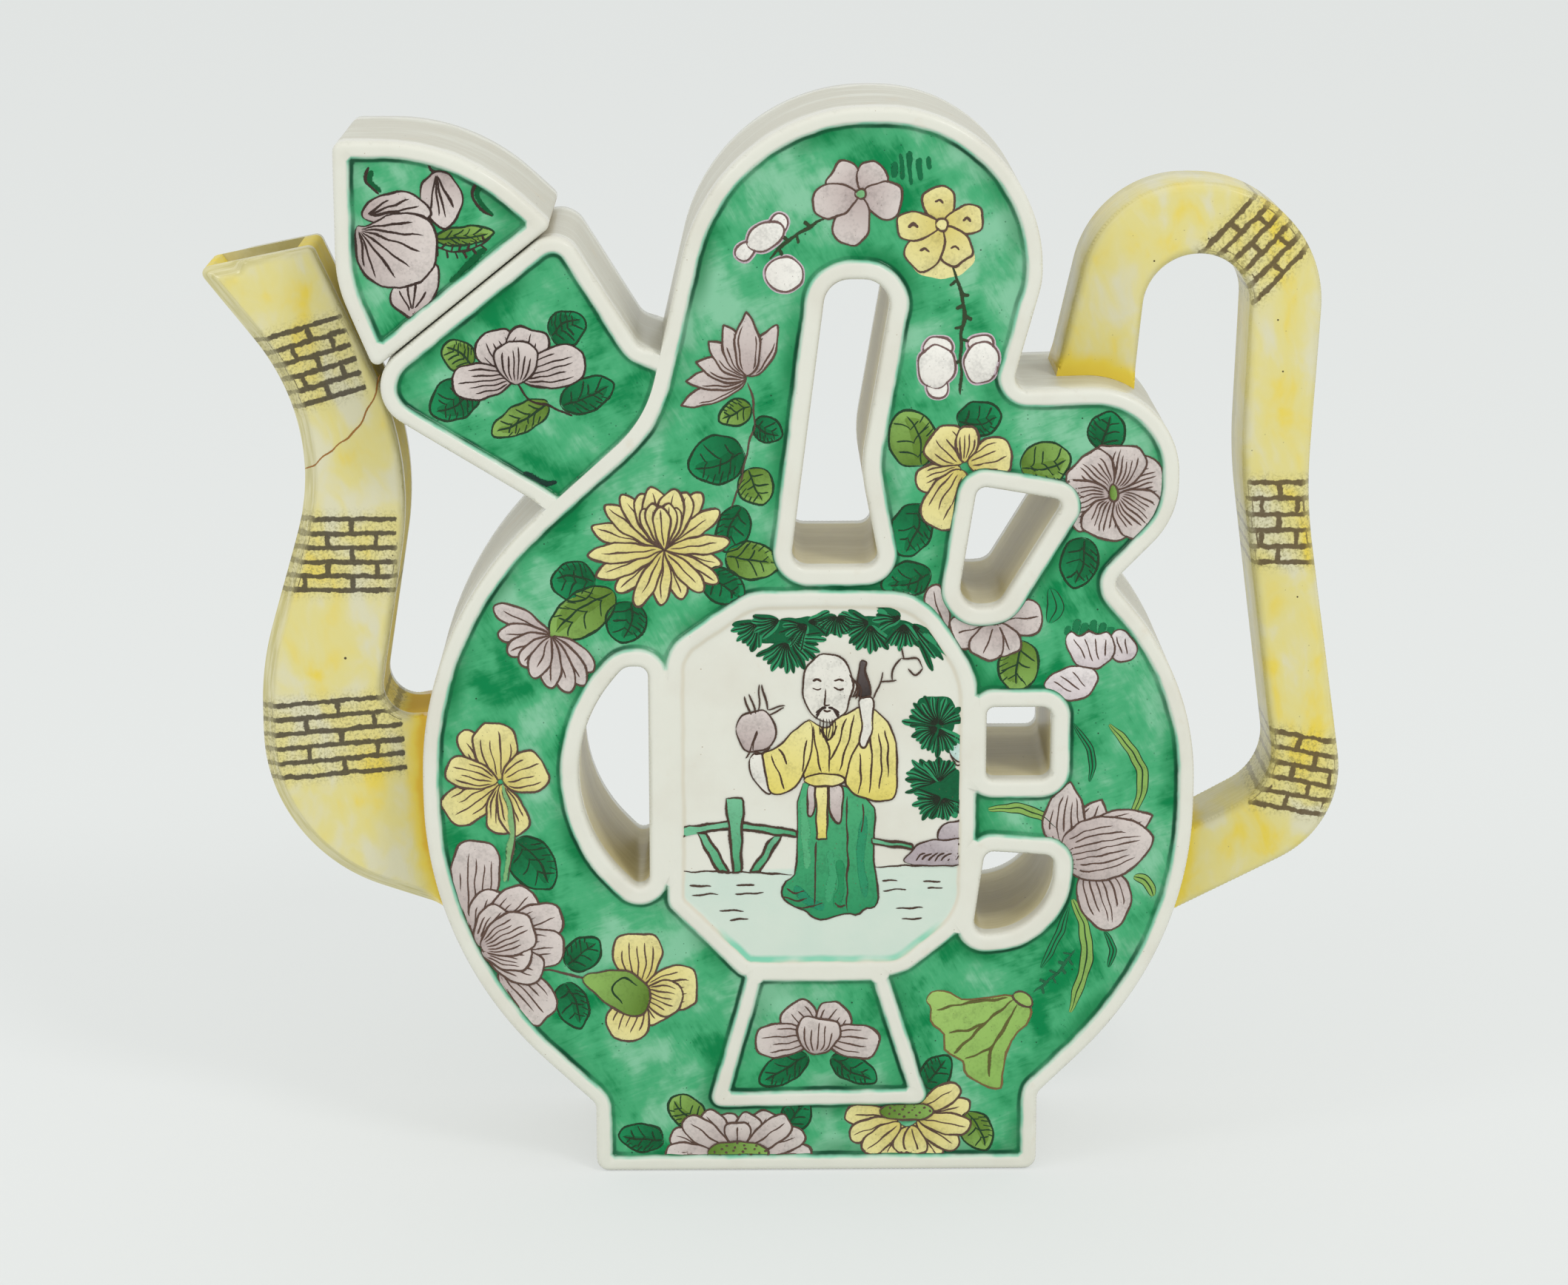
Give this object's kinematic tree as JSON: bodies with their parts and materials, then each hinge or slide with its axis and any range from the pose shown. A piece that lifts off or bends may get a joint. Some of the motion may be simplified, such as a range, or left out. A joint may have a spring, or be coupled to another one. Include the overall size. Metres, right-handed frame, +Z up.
{
  "type": "wine jug",
  "caption": "Flat, pierced wine jug built of clay slabs, with raised borders, enamel flowers, a box neck with a lift-off cover, a curved spout and a strap handle.",
  "frame": {"origin": "middle of the foot's resting face", "axes": "+X to the right seen from the front, with the spout on the left; +Y to the back; +Z up"},
  "size_m": [0.2252, 0.044, 0.215],
  "materials": {
    "green_enamel": "gloss",
    "clear_glaze": "satin",
    "bare_porcelain": "matt",
    "yellow_enamel": "gloss"
  },
  "bodies": {
    "jug": {"front_slab": "green_enamel", "back_slab": "green_enamel", "neck_front": "green_enamel", "neck_back": "green_enamel", "left_wall": "clear_glaze", "arch_wall": "clear_glaze", "shelf_wall": "clear_glaze", "right_wall": "clear_glaze", "tall_window_wall": "clear_glaze", "crescent_window_wall": "clear_glaze", "wedge_window_wall": "clear_glaze", "square_window_wall": "clear_glaze", "quarter_window_wall": "clear_glaze", "neck_lower_wall": "clear_glaze", "neck_upper_wall": "clear_glaze", "neck_mouth_strip": "clear_glaze", "base_strip": "bare_porcelain", "spout_front": "yellow_enamel", "spout_back": "yellow_enamel", "spout_outer_wall": "yellow_enamel", "spout_inner_wall": "yellow_enamel", "handle": "yellow_enamel"},
    "cover": {"cover_front": "green_enamel", "cover_back": "green_enamel", "cover_crown": "clear_glaze", "cover_side": "clear_glaze", "cover_floor": "bare_porcelain", "cover_plug": "bare_porcelain"}
  },
  "joints": [
    {"name": "cover_lift", "type": "slide", "parent": "jug", "child": "cover", "axis": [0, 0, 1], "range_m": [0, 0.06]}
  ]
}
